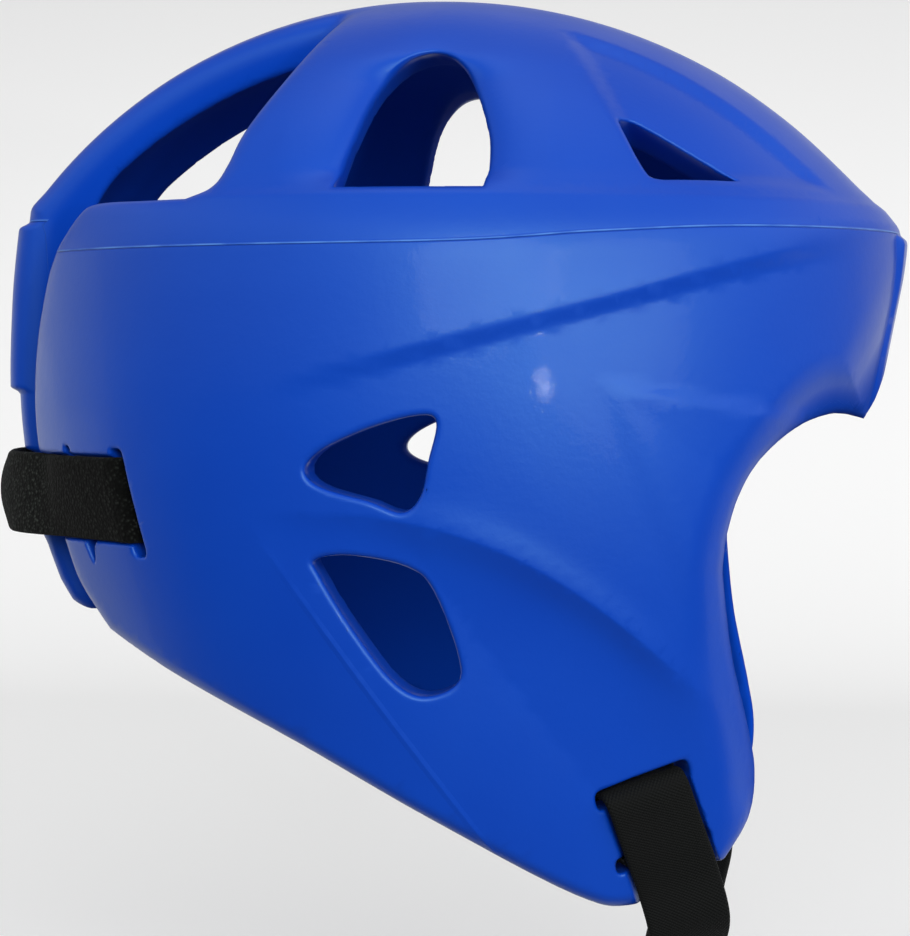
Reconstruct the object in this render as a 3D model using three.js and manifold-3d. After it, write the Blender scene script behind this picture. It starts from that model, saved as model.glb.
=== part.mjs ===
// A moulded foam head guard with an open face, a rear strap and a chin strap.
// Sizes are millimetres. +X is forward through the face opening, +Y the wearer's left, +Z up.
// The origin is the top of the head hollow, under the middle of the crown.
import * as THREE from 'three';
import { mergeVertices } from 'three/addons/utils/BufferGeometryUtils.js';
import Module from 'manifold-3d';

const wasm = await Module();
wasm.setup();

// Foam form
const FOAM = 16;
const RIB_FOAM = 11.5;
const APEX_X = -4;
const CROWN_ARC = { front: 154, rear: 143, side: 102.5 };
const SKIN_BOTTOM = -228;
const HOLLOW_BOTTOM = -240;
const CLEAR_OF_FOAM = 160;

// Wall under the crown. Columns: height, reach ahead of the apex, reach behind it, half width.
const WALL = [
  [-228, 118, 68, 71],
  [-193, 123, 86, 82],
  [-158, 126, 101.5, 91],
  [-128, 127, 112, 96.5],
  [-98, 127.5, 117, 99],
  [-68, 127, 116.8, 98.5],
  [-43, 126.5, 114.3, 96],
];

// Side outline of the main shell. Columns: x, z. Each run is a smooth curve, corners lie between runs.
const OUTLINE = {
  crossRibEdge: [[-20, 18], [-28, 4], [-36, -10], [-45, -25], [-48.5, -34], [-52, -39.5], [-59, -42.5]],
  bandTop: [[-72, -42.5], [-86, -42.5], [-92, -45], [-99.5, -54]],
  flapEdge: [[-102.5, -60], [-107, -77], [-108.7, -95], [-107.5, -108], [-103.5, -120], [-99, -131],
    [-95, -142], [-86, -154]],
  lowerEdge: [[-68, -162.5], [-31, -179.3], [4, -199.2], [38, -219], [51, -222.7], [63, -218.5]],
  chin: [[76, -211], [82, -201], [83.6, -190], [81.8, -178], [77.4, -157], [75.2, -136]],
  faceEdge: [[76, -128], [79, -117.5], [84.5, -108], [94, -100], [104, -96.8], [112.5, -98.7]],
  brow: [[125, -78], [141, -51], [141, 40], [-20, 40]],
};

// Rear tongue and the rib that carries it over the crown
const TONGUE_HALF = 30;
const TONGUE_FRONT = -22;
const TONGUE_END = [[-111.5, -134], [-107.5, -143.5], [-103, -149], [-98, -151], [-88, -151]];
const FLAP_INNER_HALF = 41;
const FLAP_FRONT = -57;

// Vents and ear holes. Columns: x, z.
const MIDDLE_VENT = [[-20, -40.5], [-16.8, -29.3], [-12.2, -16], [-5.5, -7], [2, -4.6], [8.5, -8], [14, -18],
  [17.5, -30], [17, -40.5]];
const FRONT_VENT = [[60, -40], [57.7, -40], [56.3, -38.7], [53.9, -34.2], [51.9, -29.5], [49, -22.1],
  [49.8, -20.9], [52.5, -20.9], [59.2, -24.4], [68, -29.4], [78.4, -35]];
const VENT_INNER_Y = 15;
// A leaning cut shifts in x and z for each millimetre out from its level.
const STRAIGHT = { x: 0, z: 0, level: 0 };
const FRONT_VENT_LEAN = { x: 0, z: 0.4, level: 70 };
const UPPER_EAR_HOLE = [[-26, -110], [-22, -105], [-10, -99.5], [2, -96.4], [6.5, -98], [4.5, -107.5],
  [2.5, -116], [-2, -120], [-10, -117.3], [-22, -114]];
const LOWER_EAR_HOLE = [[-24, -132], [-15, -130.8], [-1.5, -133.5], [5, -139.5], [11, -157], [9.5, -163.5],
  [1.5, -166], [-6, -161.5], [-15.5, -148.5], [-23, -136]];

// Relief of the outer skin. Columns: x, z.
const PANEL_CREASE = [[-40, -91], [-5, -81.5], [45, -68.5], [85, -57.5], [110, -52]];
const PANEL_RISE = 2.2;
const PANEL_FADE = 22;
const CHEEK_RIDGE = [[-27, -120], [0, -122.7], [24, -130.6], [48, -146], [76, -172]];
const RIDGE_RISE = 1.6;
const RIDGE_WIDTH = 5;
const SCOOP_DEPTH = 3.2;
const SCOOP_DROP = 34;
const BROW_PANEL = { half: 17, x: 108, top: -50, bottom: -96, rise: 2 };
const TONGUE_PANEL = { half: 34, x: -100, top: -45, bottom: -91, rise: 2.6 };

// Straps
const STRAP = 2.2;
const STRAP_GAP = 0.5;
const STRAP_SINK = 0.7;
const REAR_STRAP_WIDTH = 22;
const REAR_STRAP_Z = -119;
// Each strap end goes in through the first slot, round a bar and out through the second, under itself.
const REAR_SLOT = [[-81.5, -105.5], [-76, -105.5], [-69, -133], [-74.5, -133]];
const REAR_SECOND_SLOT = [[-98, -105.3], [-94, -105.3], [-85.4, -131], [-87.4, -136.5], [-90.8, -131]];
const SLOT_OUTER_Y = 90;
const REAR_SLOT_LEAN = { x: -0.69, z: 0, level: 75.5 };
const REAR_SECOND_LEAN = { x: -1, z: 0, level: 62 };
const REAR_SLOT_X = -75.3;
const REAR_SECOND_X = -91.7;
const REAR_SLANT = THREE.MathUtils.degToRad(14);
// Behind the tongue. Columns: x, half width.
const REAR_RUN = [[-112, 38.5], [-118.8, 29.5], [-124, 18.5], [-126.8, 7]];
const CHIN_STRAP_WIDTH = 22;
const CHIN_SLOT = [[43.5, -191.5], [67, -183.5], [68.5, -188.5], [45, -196.5]];
const CHIN_SECOND_SLOT = [[46.8, -209.9], [74, -202], [75, -206], [47.8, -213.9]];
const CHIN_SLOT_LEAN = { x: 0.38, z: 0, level: 72 };
const CHIN_SECOND_LEAN = { x: 0.4, z: 0, level: 65.6 };
const CHIN_SLOT_MIDDLE = [56.5, -190];
const CHIN_LEAN = THREE.MathUtils.degToRad(17.5);
const CHIN_BAR = 18.4;
const CHEEK_TURN = THREE.MathUtils.degToRad(18);
// Under the chin. Columns: x, half width, z.
const CHIN_RUN = [[67.2, 58, -228.5], [64.8, 46.5, -240.5], [62.4, 29.5, -250], [61, 10, -254.4]];

const SKIN_GRID = { columns: 80, wallRows: 20, crownRows: 8 };
const HOLLOW_GRID = { columns: 40, wallRows: 8, crownRows: 6 };

const wallReach = new THREE.CubicInterpolant(
  WALL.map((row) => row[0]),
  WALL.flatMap((row) => row.slice(1)),
  3,
);

function wallSection(z, inset) {
  const [front, rear, side] = wallReach.evaluate(z);
  return { front: front - inset, rear: rear - inset, side: side - inset };
}

function crownSection(z, inset) {
  const drop = FOAM - inset - z;
  const reach = (arc) => {
    const radius = arc - inset;
    return drop < radius ? Math.sqrt(Math.max(drop * (2 * radius - drop), 0)) : radius;
  };
  return { front: reach(CROWN_ARC.front), rear: reach(CROWN_ARC.rear), side: reach(CROWN_ARC.side) };
}

function ovalRadius(section, angle) {
  const along = Math.cos(angle) > 0 ? section.front : section.rear;
  return 1 / Math.hypot(Math.cos(angle) / along, Math.sin(angle) / section.side);
}

// Height at which the crown meets the wall in one direction.
function crownEdge(angle, inset) {
  let low = -110;
  let high = -10;
  for (let step = 0; step < 40; step += 1) {
    const middle = (low + high) / 2;
    const crown = ovalRadius(crownSection(middle, inset), angle);
    const wall = ovalRadius(wallSection(middle, inset), angle);
    if (crown > wall) low = middle;
    else high = middle;
  }
  return (low + high) / 2;
}

function heightOn(line, x) {
  if (x <= line[0][0]) return line[0][1];
  for (let i = 1; i < line.length; i += 1) {
    const [x0, z0] = line[i - 1];
    const [x1, z1] = line[i];
    if (x <= x1) return THREE.MathUtils.mapLinear(x, x0, x1, z0, z1);
  }
  return line[line.length - 1][1];
}

function fadeOver(line, x, length) {
  const { smoothstep } = THREE.MathUtils;
  const start = line[0][0];
  const end = line[line.length - 1][0];
  return smoothstep(x, start, start + length) * (1 - smoothstep(x, end - length, end));
}

function raisedPanel(panel, across, z) {
  const { smoothstep } = THREE.MathUtils;
  const overBottom = smoothstep(z, panel.bottom - 3, panel.bottom + 3);
  const underTop = 1 - smoothstep(z, panel.top - 4, panel.top);
  return panel.rise * overBottom * underTop * (1 - smoothstep(across, panel.half - 4, panel.half + 4));
}

// How far the wall's outer skin stands out from the plain form.
function relief(x, y, z) {
  const { smoothstep } = THREE.MathUtils;
  let out = 0;
  const overCrease = z - heightOn(PANEL_CREASE, x);
  const panelFade = Math.exp(-Math.max(overCrease, 0) / PANEL_FADE);
  out += PANEL_RISE * smoothstep(overCrease, -3, 3) * panelFade * fadeOver(PANEL_CREASE, x, 30);
  const underRidge = heightOn(CHEEK_RIDGE, x) - z;
  const cheekFade = smoothstep(x, -30, 5);
  out += RIDGE_RISE * Math.exp(-((underRidge / RIDGE_WIDTH) ** 2)) * cheekFade;
  const scoop = smoothstep(underRidge, 2, 9) * (1 - smoothstep(underRidge, 10, SCOOP_DROP));
  out -= SCOOP_DEPTH * scoop * cheekFade * (1 - smoothstep(x, 55, 78));
  if (x > BROW_PANEL.x) out += raisedPanel(BROW_PANEL, Math.abs(y), z);
  if (x < TONGUE_PANEL.x) out += raisedPanel(TONGUE_PANEL, Math.abs(y), z);
  return out;
}

function solid(geometry) {
  const plain = geometry.clone();
  plain.deleteAttribute('normal');
  plain.deleteAttribute('uv');
  const welded = mergeVertices(plain, 1e-4);
  return new wasm.Manifold(new wasm.Mesh({
    numProp: 3,
    vertProperties: new Float32Array(welded.attributes.position.array),
    triVerts: new Uint32Array(welded.index.array),
  }));
}

// Closed skin of the foam, or of the hollow when it is inset.
function skin(inset, bottom, grid, withRelief) {
  const points = [];
  const faces = [];
  const rows = grid.wallRows + grid.crownRows;
  for (let row = 0; row < rows; row += 1) {
    for (let column = 0; column < grid.columns; column += 1) {
      const angle = (2 * Math.PI * column) / grid.columns;
      const edge = crownEdge(angle, inset);
      const rise = (row - grid.wallRows) / grid.crownRows;
      const drop = (FOAM - inset - edge) * (1 - rise) ** 2;
      const onWall = row < grid.wallRows;
      const z = onWall ? THREE.MathUtils.lerp(bottom, edge, row / grid.wallRows) : FOAM - inset - drop;
      const section = onWall ? wallSection(z, inset) : crownSection(z, inset);
      let radius = ovalRadius(section, angle);
      const x = APEX_X + radius * Math.cos(angle);
      const y = radius * Math.sin(angle);
      if (withRelief && onWall) radius += relief(x, y, z);
      points.push(APEX_X + radius * Math.cos(angle), radius * Math.sin(angle), z);
    }
  }
  const foot = points.length / 3;
  points.push(APEX_X, 0, bottom);
  const top = foot + 1;
  points.push(APEX_X, 0, FOAM - inset);
  for (let column = 0; column < grid.columns; column += 1) {
    const next = (column + 1) % grid.columns;
    for (let row = 0; row + 1 < rows; row += 1) {
      const here = row * grid.columns;
      const above = here + grid.columns;
      faces.push(here + column, here + next, above + next);
      faces.push(here + column, above + next, above + column);
    }
    const last = (rows - 1) * grid.columns;
    faces.push(foot, next, column);
    faces.push(top, last + column, last + next);
  }
  const geometry = new THREE.BufferGeometry();
  geometry.setAttribute('position', new THREE.Float32BufferAttribute(points, 3));
  geometry.setIndex(faces);
  return solid(geometry);
}

function flatPoints(points) {
  return points.map(([x, z]) => new THREE.Vector2(x, z));
}

function smoothRun(run, steps) {
  return new THREE.SplineCurve(flatPoints(run)).getPoints(run.length * steps);
}

function smoothRing(points, count) {
  const ring = points.map(([x, z]) => new THREE.Vector3(x, z, 0));
  const curve = new THREE.CatmullRomCurve3(ring, true, 'catmullrom', 0.5);
  return curve.getPoints(count).slice(0, -1).map((point) => new THREE.Vector2(point.x, point.y));
}

// A side outline pushed along Y between two widths.
function alongY(points, from, to, lean = STRAIGHT) {
  const geometry = new THREE.ExtrudeGeometry(new THREE.Shape(points), {
    depth: to - from,
    bevelEnabled: false,
    steps: 1,
  });
  geometry.rotateX(Math.PI / 2);
  geometry.translate(0, to, 0);
  geometry.applyMatrix4(new THREE.Matrix4().set(
    1, lean.x, 0, -lean.x * lean.level,
    0, 1, 0, 0,
    0, lean.z, 1, -lean.z * lean.level,
    0, 0, 0, 1,
  ));
  return solid(geometry);
}

function block(xFrom, xTo, yFrom, yTo, zFrom, zTo) {
  const geometry = new THREE.BoxGeometry(xTo - xFrom, yTo - yFrom, zTo - zFrom);
  geometry.translate((xFrom + xTo) / 2, (yFrom + yTo) / 2, (zFrom + zTo) / 2);
  return solid(geometry);
}

// A flat strap swept along a path, its width lying as near to acrossAt as the path allows.
function sweep(path, acrossAt, width, thickness, closed) {
  const corners = [];
  const faces = [];
  const count = path.length;
  for (let i = 0; i < count; i += 1) {
    const before = path[closed ? (i + count - 1) % count : Math.max(i - 1, 0)];
    const after = path[closed ? (i + 1) % count : Math.min(i + 1, count - 1)];
    const tangent = after.clone().sub(before).normalize();
    const across = acrossAt(path[i]).clone();
    across.addScaledVector(tangent, -across.dot(tangent)).normalize();
    const out = new THREE.Vector3().crossVectors(tangent, across);
    for (const [side, face] of [[-1, -1], [1, -1], [1, 1], [-1, 1]]) {
      const corner = path[i].clone();
      corner.addScaledVector(across, (side * width) / 2);
      corner.addScaledVector(out, (face * thickness) / 2);
      corners.push(corner.x, corner.y, corner.z);
    }
  }
  const spans = closed ? count : count - 1;
  for (let i = 0; i < spans; i += 1) {
    const here = 4 * i;
    const there = 4 * ((i + 1) % count);
    for (let corner = 0; corner < 4; corner += 1) {
      const next = (corner + 1) % 4;
      faces.push(here + corner, here + next, there + next);
      faces.push(here + corner, there + next, there + corner);
    }
  }
  if (!closed) {
    const end = 4 * (count - 1);
    faces.push(0, 2, 1, 0, 3, 2);
    faces.push(end, end + 1, end + 2, end, end + 2, end + 3);
  }
  const geometry = new THREE.BufferGeometry();
  geometry.setAttribute('position', new THREE.Float32BufferAttribute(corners, 3));
  geometry.setIndex(faces);
  return solid(geometry);
}

function smoothPath(points, count, closed) {
  const curve = new THREE.CatmullRomCurve3(points, closed, 'centripetal');
  const path = curve.getSpacedPoints(count);
  return closed ? path.slice(0, -1) : path;
}

function mirrored(path) {
  return path.map((point) => new THREE.Vector3(point.x, -point.y, point.z));
}

function bothSides(half) {
  return half.add(half.mirror([0, 1, 0]));
}

// Point on the wearer's left wall, sunk along the wall's plan normal.
function onWall(x, z, depth) {
  const section = wallSection(z, 0);
  const along = x > APEX_X ? section.front : section.rear;
  const share = (x - APEX_X) / along;
  const y = section.side * Math.sqrt(1 - share * share);
  const normal = new THREE.Vector2(share / along, y / section.side ** 2).normalize();
  return new THREE.Vector3(x - normal.x * depth, y - normal.y * depth, z);
}

// Strap round the bar between the rear slots, as a ring and as the run behind the tongue.
function rearStrapPaths() {
  const inside = FOAM + STRAP_GAP + STRAP / 2;
  const through = [3, FOAM / 2, FOAM - 3];
  const at = (x, depth) => onWall(x, REAR_STRAP_Z, depth);
  const ring = [REAR_SLOT_X - 3, -83.5, REAR_SECOND_X + 3].map((x) => at(x, STRAP_SINK));
  ring.push(...through.map((depth) => at(REAR_SECOND_X, depth)));
  ring.push(...[REAR_SECOND_X + 4, REAR_SLOT_X - 4].map((x) => at(x, inside)));
  ring.push(...through.reverse().map((depth) => at(REAR_SLOT_X, depth)));
  const half = [-83.5, -92, -99, -104].map((x) => at(x, STRAP_SINK));
  for (const [x, y] of REAR_RUN) half.push(new THREE.Vector3(x, y, REAR_STRAP_Z));
  return { ring, run: [...half, ...mirrored(half).reverse()] };
}

function onCheek(distance, depth) {
  const x = CHIN_SLOT_MIDDLE[0] + distance * Math.sin(CHIN_LEAN);
  const z = CHIN_SLOT_MIDDLE[1] - distance * Math.cos(CHIN_LEAN);
  return onWall(x, z, depth);
}

// Strap round the bar between the chin slots, as a ring and as the run under the chin.
function chinStrapPaths() {
  const inside = FOAM + STRAP_GAP + STRAP / 2;
  const through = [3, FOAM / 2, FOAM - 3];
  const ring = [3, CHIN_BAR / 2, CHIN_BAR - 3].map((distance) => onCheek(distance, STRAP_SINK));
  ring.push(...through.map((depth) => onCheek(CHIN_BAR, depth)));
  ring.push(...[CHIN_BAR - 4, 4].map((distance) => onCheek(distance, inside)));
  ring.push(...through.reverse().map((depth) => onCheek(0, depth)));
  const half = [CHIN_BAR / 2, CHIN_BAR, 27].map((distance) => onCheek(distance, STRAP_SINK));
  for (const [x, y, z] of CHIN_RUN) half.push(new THREE.Vector3(x, y, z));
  return { ring, run: [...half, ...mirrored(half).reverse()] };
}

function acrossRear(point) {
  const slant = REAR_SLANT * THREE.MathUtils.smoothstep(Math.abs(point.y), 44, 58);
  return new THREE.Vector3(-Math.sin(slant), 0, Math.cos(slant));
}

function acrossChin(point) {
  const turn = -CHEEK_TURN * THREE.MathUtils.clamp(point.y / 70, -1, 1);
  return new THREE.Vector3(Math.cos(turn), Math.sin(turn), Math.tan(CHIN_LEAN));
}

const rear = rearStrapPaths();
const chin = chinStrapPaths();
const rearRing = smoothPath(rear.ring, 28, true);
const chinRing = smoothPath(chin.ring, 28, true);
const rearRun = smoothPath(rear.run, 32, false);
const chinRun = smoothPath(chin.run, 32, false);

function strap(ring, run, acrossAt, width, thickness) {
  const rings = bothSides(sweep(ring, acrossAt, width, thickness, true));
  return rings.add(sweep(run, acrossAt, width, thickness, false));
}

function foamShell() {
  const outside = skin(0, SKIN_BOTTOM, SKIN_GRID, true);
  const thick = outside.subtract(skin(FOAM, HOLLOW_BOTTOM, HOLLOW_GRID, false));
  const thin = outside.subtract(skin(RIB_FOAM, HOLLOW_BOTTOM, HOLLOW_GRID, false));
  const sideOutline = Object.entries(OUTLINE).flatMap(([name, run]) => (
    name === 'brow' ? flatPoints(run) : smoothRun(run, 2)
  ));
  let main = thick.intersect(alongY(sideOutline, -CLEAR_OF_FOAM, CLEAR_OF_FOAM));
  main = main.subtract(block(-CLEAR_OF_FOAM, FLAP_FRONT, -FLAP_INNER_HALF, FLAP_INNER_HALF, -200, 60));
  const tongueOutline = [[TONGUE_FRONT, 40], [-140, 40], [-140, -115], ...TONGUE_END, [TONGUE_FRONT, -80]];
  let shell = main.add(thin.intersect(alongY(flatPoints(tongueOutline), -TONGUE_HALF, TONGUE_HALF)));
  for (const hole of [UPPER_EAR_HOLE, LOWER_EAR_HOLE]) {
    shell = shell.subtract(alongY(smoothRing(hole, 24), -CLEAR_OF_FOAM, CLEAR_OF_FOAM));
  }
  for (const [vent, lean] of [[MIDDLE_VENT, STRAIGHT], [FRONT_VENT, FRONT_VENT_LEAN]]) {
    shell = shell.subtract(bothSides(alongY(smoothRun(vent, 2), VENT_INNER_Y, CLEAR_OF_FOAM, lean)));
  }
  const slots = [
    [REAR_SLOT, REAR_SLOT_LEAN],
    [REAR_SECOND_SLOT, REAR_SECOND_LEAN],
    [CHIN_SLOT, CHIN_SLOT_LEAN],
    [CHIN_SECOND_SLOT, CHIN_SECOND_LEAN],
  ];
  for (const [slot, lean] of slots) {
    shell = shell.subtract(bothSides(alongY(flatPoints(slot), FLAP_INNER_HALF, SLOT_OUTER_Y, lean)));
  }
  const room = 2 * STRAP_GAP;
  shell = shell.subtract(strap(rearRing, rearRun, acrossRear, REAR_STRAP_WIDTH + room, STRAP + room));
  return shell.subtract(strap(chinRing, chinRun, acrossChin, CHIN_STRAP_WIDTH + room, STRAP + room));
}

function meshOf(body, name, colour, roughness) {
  const { vertProperties, triVerts } = body.getMesh();
  const geometry = new THREE.BufferGeometry();
  geometry.setAttribute('position', new THREE.Float32BufferAttribute(vertProperties, 3));
  geometry.setIndex([...triVerts]);
  geometry.computeVertexNormals();
  const material = new THREE.MeshStandardMaterial({ color: colour, roughness, name: `${name}_material` });
  const mesh = new THREE.Mesh(geometry, material);
  mesh.name = name;
  return mesh;
}

const guard = new THREE.Group();
guard.name = 'head_guard';
guard.add(meshOf(foamShell(), 'shell', 0x2450b4, 0.4));
const rearStrap = strap(rearRing, rearRun, acrossRear, REAR_STRAP_WIDTH, STRAP);
guard.add(meshOf(rearStrap, 'rear_strap', 0x1c201f, 0.95));
const chinStrap = strap(chinRing, chinRun, acrossChin, CHIN_STRAP_WIDTH, STRAP);
guard.add(meshOf(chinStrap, 'chin_strap', 0x141716, 0.85));

export default guard;
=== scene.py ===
"""Looks of the foam head guard: one moulded shell and two straps over the shared frame.

Sizes are metres in the row frame: +X forward, +Y the wearer's left, +Z up, with the origin at the top of
the head hollow. Tables are in millimetres and are turned into metres where they are read.
"""
import math

import bmesh
import bpy
import numpy as np
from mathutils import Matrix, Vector


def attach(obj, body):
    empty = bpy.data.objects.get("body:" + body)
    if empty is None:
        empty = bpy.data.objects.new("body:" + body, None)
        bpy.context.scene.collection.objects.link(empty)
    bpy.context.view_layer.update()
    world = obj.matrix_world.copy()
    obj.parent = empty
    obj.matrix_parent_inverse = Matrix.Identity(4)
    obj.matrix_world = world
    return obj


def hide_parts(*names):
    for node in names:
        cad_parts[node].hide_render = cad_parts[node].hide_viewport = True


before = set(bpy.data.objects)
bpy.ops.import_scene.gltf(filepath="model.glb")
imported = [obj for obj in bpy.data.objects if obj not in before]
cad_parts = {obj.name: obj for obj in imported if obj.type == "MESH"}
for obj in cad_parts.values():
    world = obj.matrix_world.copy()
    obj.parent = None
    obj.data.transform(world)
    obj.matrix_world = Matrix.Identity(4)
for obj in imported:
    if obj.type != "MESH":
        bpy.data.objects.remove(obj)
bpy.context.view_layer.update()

MM = 0.001
# Guard against division by zero
TINY = 1e-9

# Foam form
FOAM = 0.016
RIB_FOAM = 0.0115
APEX_X = -0.004
CROWN_ARC = {"front": 0.154, "rear": 0.143, "side": 0.1025}
# Depths over which the crown's form is opened out under the parting line, and how far
CROWN_END = (0.062, 0.090)
CROWN_OPENING = 0.030
# Columns: height, reach ahead of the apex, reach behind it, half width
WALL = [
    (-228, 118, 68, 71),
    (-193, 123, 86, 82),
    (-158, 126, 101.5, 91),
    (-128, 127, 112, 96.5),
    (-98, 127.5, 117, 99),
    (-68, 127, 116.8, 98.5),
    (-43, 126.5, 114.3, 96),
]

# Side outline of the main shell. Columns: x, z. Each run is a smooth curve, corners lie between runs.
OUTLINE = {
    "cross_rib_edge": [
        (-20, 18), (-28, 4), (-36, -10), (-45, -25), (-48.5, -34), (-52, -39.5), (-59, -42.5),
    ],
    "band_top": [(-72, -42.5), (-86, -42.5), (-92, -45), (-99.5, -54)],
    "flap_edge": [
        (-102.5, -60), (-107, -77), (-108.7, -95), (-107.5, -108),
        (-103.5, -120), (-99, -131), (-95, -142), (-86, -154),
    ],
    "lower_edge": [(-68, -162.5), (-31, -179.3), (4, -199.2), (38, -219), (51, -222.7), (63, -218.5)],
    "chin": [(76, -211), (82, -201), (83.6, -190), (81.8, -178), (77.4, -157), (75.2, -136)],
    "face_edge": [(76, -128), (79, -117.5), (84.5, -108), (94, -100), (104, -96.8), (112.5, -98.7)],
}
BROW = [(125, -78), (141, -51), (141, 40), (-20, 40)]

# Rear tongue and the rib that carries it over the crown
TONGUE_HALF = 0.030
TONGUE_OUTLINE = [
    (-22, 40), (-140, 40), (-140, -115), (-111.5, -134), (-107.5, -143.5),
    (-103, -149), (-98, -151), (-88, -151), (-22, -80),
]
FLAP_INNER_HALF = 0.041
FLAP_FRONT = -0.057

# Vents and ear holes. Columns: x, z.
MIDDLE_VENT = [
    (-20, -40.5), (-16.8, -29.3), (-12.2, -16), (-5.5, -7), (2, -4.6),
    (8.5, -8), (14, -18), (17.5, -30), (17, -40.5),
]
FRONT_VENT = [
    (60, -40), (57.7, -40), (56.3, -38.7), (53.9, -34.2), (51.9, -29.5), (49, -22.1),
    (49.8, -20.9), (52.5, -20.9), (59.2, -24.4), (68, -29.4), (78.4, -35),
]
# The front vents rise by this much for each metre out from their level
FRONT_VENT_LEAN = 0.4
FRONT_VENT_LEVEL = 0.070
FRONT_VENT_RADIUS = 0.0009
UPPER_EAR_HOLE = [
    (-26, -110), (-22, -105), (-10, -99.5), (2, -96.4), (6.5, -98),
    (4.5, -107.5), (2.5, -116), (-2, -120), (-10, -117.3), (-22, -114),
]
LOWER_EAR_HOLE = [
    (-24, -132), (-15, -130.8), (-1.5, -133.5), (5, -139.5), (11, -157),
    (9.5, -163.5), (1.5, -166), (-6, -161.5), (-15.5, -148.5), (-23, -136),
]

# Relief of the outer skin. Columns of lines: x, z. A pair is the stretch over which a form comes in.
PANEL_CREASE = [(-40, -91), (-5, -81.5), (45, -68.5), (85, -57.5), (110, -52)]
PANEL_RISE = 0.0017
PANEL_STEP = (-0.0046, 0.0016)
PANEL_FADE = 0.022
PANEL_REAR = (-0.040, 0.005)
PANEL_FRONT = (0.085, 0.112)
CHEEK_RIDGE = [(-27, -120), (0, -122.7), (24, -130.6), (48, -146), (76, -172)]
CREST_RISE = 0.0007
CREST_WIDTH = 0.0055
CREST_REAR = (-0.020, 0.020)
SCOOP_DEPTH = 0.0038
SCOOP_SLOPE_LENGTH = 0.010
SCOOP_REACH = 0.075
SCOOP_REAR_LINE = [(-37.3, -128.5), (17.6, -205.8)]
SCOOP_SPREAD = 0.030
SCOOP_FRONT = (0.050, 0.078)
CHEEK_FACET = [(48.6, -89), (83, -95.3), (65, -132)]
FACET_RISE = 0.0008
FACET_FADE = 0.016
FACET_TOP = (-0.0025, 0.002)
FACET_REAR = (-0.005, 0.006)
RECESS_LINE = [(35, 0), (57, -39)]
RECESS_DEPTH = 0.0017
RECESS_FOOT = -0.0395
RECESS_STEP = (-0.001, 0.004)
RIB_HALF = 0.040
RIB_STEP = (-0.002, 0.003)
VENT_DIP = 0.0050
VENT_DIP_REACH = 0.0062
VENT_DIP_FOOT = (0.0, 0.006)
VENT_DIP_TOP = (-0.013, -0.004)
VENT_DIP_TOP_SHARE = 0.3
BAND_TOP = -0.0415
BAND_RISE = 0.0007
BAND_STEP = (-0.0012, 0.0012)
# Raised panels. A panel lies beyond its x.
BROW_PANEL = {"x": 0.1, "half": 0.017, "top": -0.049, "bottom": -0.096, "rise": 0.002}
TONGUE_PANEL = {"x": -0.095, "half": 0.034, "top": -0.045, "bottom": -0.091, "rise": 0.0026}
RAISED_STEP = (-0.001, 0.001)
RAISED_TOP_STEP = (-0.002, 0.0)
# Parting line round the shell, where the crown meets the wall, and its height on the tongue
PARTING_LINE = [(-110, -54.5), (0, -54.3), (45, -51.7), (79, -49.8), (124, -49)]
PARTING_ENDS = (-0.112, 0.119)
TONGUE_PARTING = -0.045
BAND_BLEND = (0.0, 0.022)
# Chamfer round the face opening: its width on the skin at the brow, the corner and the cheek
CHAMFER = {"brow": 0.0125, "corner": 0.0048, "cheek": 0.0075, "depth_share": 0.62, "radius": 0.0018}
# Where it widens towards brow and cheek, narrows towards the chin and begins. Depths are under the origin.
CHAMFER_BROW_X = (0.080, 0.104)
CHAMFER_CHEEK_DEPTH = (0.120, 0.160)
CHAMFER_CHIN_DEPTH = (0.190, 0.212)
CHAMFER_CHIN_LOSS = 0.8
CHAMFER_REAR_X = (0.050, 0.066)
CHAMFER_LEAST = 1e-6

# Straps
STRAP = 0.0022
STRAP_GAP = 0.0005
STRAP_SINK = 0.0007
STRAP_EDGE_SHARE = 0.9
# Depths of a strap in a slot, its depth inside the shell, and the length of its turn there
STRAP_THROUGH = (0.003, FOAM / 2, FOAM - 0.003)
STRAP_INSIDE = FOAM + STRAP_GAP + STRAP / 2
STRAP_TURN = 0.004
REAR_STRAP_WIDTH = 0.022
REAR_STRAP_Z = -0.1186
REAR_SLOT_X = -0.0753
REAR_SECOND_X = -0.0917
REAR_ON_FLAP = (REAR_SLOT_X - 0.003, -0.0835, -0.092, -0.099, -0.104)
# The strap's slant at the slots fades behind the head, and its cup fades away from the middle
REAR_SLANT = math.radians(14)
REAR_SLANT_Y = (0.044, 0.058)
REAR_CUP = 0.003
REAR_CUP_Y = (0.014, 0.036)
REAR_SLOT = [(-81.5, -105.5), (-76, -105.5), (-69, -133), (-74.5, -133)]
REAR_SECOND_SLOT = [(-98, -105.3), (-94, -105.3), (-85.4, -131), (-87.4, -136.5), (-90.8, -131)]
REAR_CHANNEL = [(-77, -107.6), (-130, -107.6), (-130, -129.6), (-72, -129.6)]
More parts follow.
